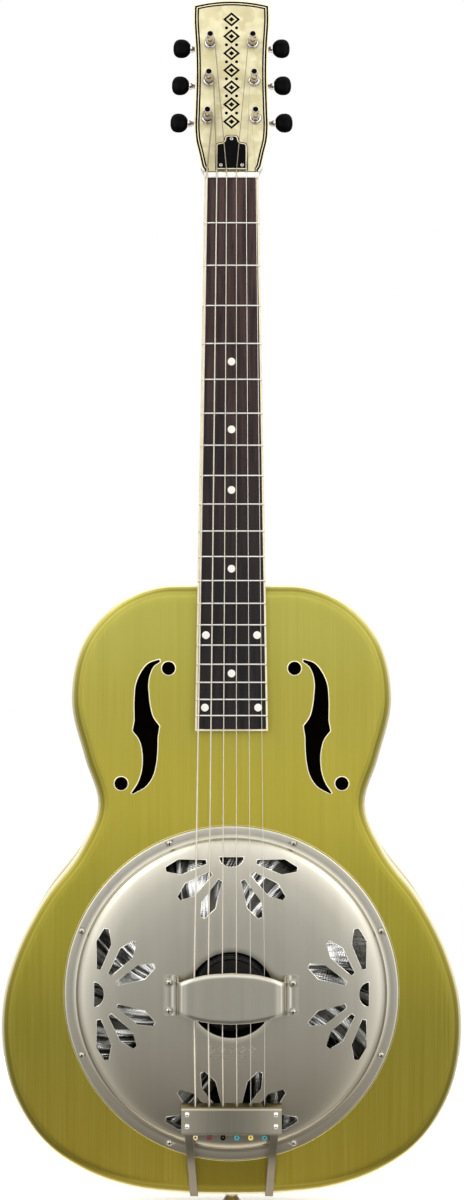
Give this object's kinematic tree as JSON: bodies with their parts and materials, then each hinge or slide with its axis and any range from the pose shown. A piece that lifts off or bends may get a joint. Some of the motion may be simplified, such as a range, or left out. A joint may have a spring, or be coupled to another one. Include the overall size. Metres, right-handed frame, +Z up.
{
  "type": "resonator guitar",
  "caption": "Metal-bodied guitar whose bridge drives a spun cone under a domed, pierced cover plate, with a bound neck, trapeze tailpiece and geared tuners.",
  "frame": {"origin": "centre of the end button's flat outer face, at the tail", "axes": "+Z up along the instrument to the head, front facing -Y, +X to the right seen from the front"},
  "size_m": [0.3598, 0.1135, 0.9561],
  "materials": {
    "olive_finish": "translucent olive lacquer over vertically brushed metal, edges worn to bare metal",
    "brushed_nickel": "warm grey brushed plating",
    "bare_metal": "plain drawn metal",
    "spun_aluminium": "spun, with fine rings",
    "fret_metal": "polished wire, with cream binding along its edges",
    "string_metal": "phosphor bronze winding on the low ones, plain steel on the high ones",
    "neck_wood": "dark stained, satin lacquer",
    "fingerboard_wood": "oiled dark rosewood",
    "maple": "plain pale wood",
    "ebonised_wood": "wood stained black",
    "pearl_plastic": "aged pearl-effect sheet with layered edging",
    "ivory_plastic": "bone white",
    "black_plastic": "gloss black"
  },
  "bodies": {
    "guitar": {"body_top": "olive_finish", "body_sides": "olive_finish", "body_back": "olive_finish", "resonator_well": "bare_metal", "resonator_cone": "spun_aluminium", "bridge_biscuit": "ebonised_wood", "bridge_saddle": "maple", "cover_plate": "brushed_nickel", "cover_screw_1": "brushed_nickel", "cover_screw_2": "brushed_nickel", "cover_screw_3": "brushed_nickel", "cover_screw_4": "brushed_nickel", "cover_screw_5": "brushed_nickel", "cover_screw_6": "brushed_nickel", "cover_screw_7": "brushed_nickel", "cover_screw_8": "brushed_nickel", "palm_rest": "brushed_nickel", "tailpiece_plate": "brushed_nickel", "tailpiece_frame": "brushed_nickel", "end_button": "black_plastic", "neck": "neck_wood", "neck_stick": "neck_wood", "truss_rod": "bare_metal", "fingerboard": "fingerboard_wood", "frets_and_binding": "fret_metal", "nut": "ivory_plastic", "head_veneer": "pearl_plastic", "truss_rod_cover": "black_plastic", "tuner_plate_left": "brushed_nickel", "tuner_plate_right": "brushed_nickel", "tuner_bushing_1": "brushed_nickel", "tuner_bushing_2": "brushed_nickel", "tuner_bushing_3": "brushed_nickel", "tuner_bushing_4": "brushed_nickel", "tuner_bushing_5": "brushed_nickel", "tuner_bushing_6": "brushed_nickel", "string_1": "string_metal", "string_2": "string_metal", "string_3": "string_metal", "string_4": "string_metal", "string_5": "string_metal", "string_6": "string_metal"},
    "key_1": {"tuner_shaft_1": "brushed_nickel", "tuner_button_1": "black_plastic"},
    "post_1": {"tuner_post_1": "brushed_nickel"},
    "key_2": {"tuner_shaft_2": "brushed_nickel", "tuner_button_2": "black_plastic"},
    "post_2": {"tuner_post_2": "brushed_nickel"},
    "key_3": {"tuner_shaft_3": "brushed_nickel", "tuner_button_3": "black_plastic"},
    "post_3": {"tuner_post_3": "brushed_nickel"},
    "key_4": {"tuner_shaft_4": "brushed_nickel", "tuner_button_4": "black_plastic"},
    "post_4": {"tuner_post_4": "brushed_nickel"},
    "key_5": {"tuner_shaft_5": "brushed_nickel", "tuner_button_5": "black_plastic"},
    "post_5": {"tuner_post_5": "brushed_nickel"},
    "key_6": {"tuner_shaft_6": "brushed_nickel", "tuner_button_6": "black_plastic"},
    "post_6": {"tuner_post_6": "brushed_nickel"}
  },
  "joints": [
    {"name": "key_turn_1", "type": "hinge", "parent": "guitar", "child": "key_1", "pos_m": [-0.01862, 0.00131, 0.85744], "axis": [0.9995, -0.0081, -0.0303], "continuous": true},
    {"name": "post_turn_1", "type": "hinge", "parent": "guitar", "child": "post_1", "pos_m": [-0.01881, -0.02391, 0.85798], "axis": [0, -0.9659, 0.2588], "continuous": true},
    {"name": "key_turn_2", "type": "hinge", "parent": "guitar", "child": "key_2", "pos_m": [-0.01761, 0.00962, 0.88848], "axis": [0.9995, -0.0081, -0.0303], "continuous": true},
    {"name": "post_turn_2", "type": "hinge", "parent": "guitar", "child": "post_2", "pos_m": [-0.0178, -0.01559, 0.88902], "axis": [0, -0.9659, 0.2588], "continuous": true},
    {"name": "key_turn_3", "type": "hinge", "parent": "guitar", "child": "key_3", "pos_m": [-0.0166, 0.01794, 0.91951], "axis": [0.9995, -0.0081, -0.0303], "continuous": true},
    {"name": "post_turn_3", "type": "hinge", "parent": "guitar", "child": "post_3", "pos_m": [-0.01679, -0.00728, 0.92006], "axis": [0, -0.9659, 0.2588], "continuous": true},
    {"name": "key_turn_4", "type": "hinge", "parent": "guitar", "child": "key_4", "pos_m": [0.0166, 0.01794, 0.91951], "axis": [0.9995, 0.0081, 0.0303], "continuous": true},
    {"name": "post_turn_4", "type": "hinge", "parent": "guitar", "child": "post_4", "pos_m": [0.01679, -0.00728, 0.92006], "axis": [0, -0.9659, 0.2588], "continuous": true},
    {"name": "key_turn_5", "type": "hinge", "parent": "guitar", "child": "key_5", "pos_m": [0.01761, 0.00962, 0.88848], "axis": [0.9995, 0.0081, 0.0303], "continuous": true},
    {"name": "post_turn_5", "type": "hinge", "parent": "guitar", "child": "post_5", "pos_m": [0.0178, -0.01559, 0.88902], "axis": [0, -0.9659, 0.2588], "continuous": true},
    {"name": "key_turn_6", "type": "hinge", "parent": "guitar", "child": "key_6", "pos_m": [0.01862, 0.00131, 0.85744], "axis": [0.9995, 0.0081, 0.0303], "continuous": true},
    {"name": "post_turn_6", "type": "hinge", "parent": "guitar", "child": "post_6", "pos_m": [0.01881, -0.02391, 0.85798], "axis": [0, -0.9659, 0.2588], "continuous": true}
  ],
  "couplings": [
    {"joint": "post_turn_1", "follows": "key_turn_1", "ratio": 0.055556},
    {"joint": "post_turn_2", "follows": "key_turn_2", "ratio": 0.055556},
    {"joint": "post_turn_3", "follows": "key_turn_3", "ratio": 0.055556},
    {"joint": "post_turn_4", "follows": "key_turn_4", "ratio": 0.055556},
    {"joint": "post_turn_5", "follows": "key_turn_5", "ratio": 0.055556},
    {"joint": "post_turn_6", "follows": "key_turn_6", "ratio": 0.055556}
  ]
}
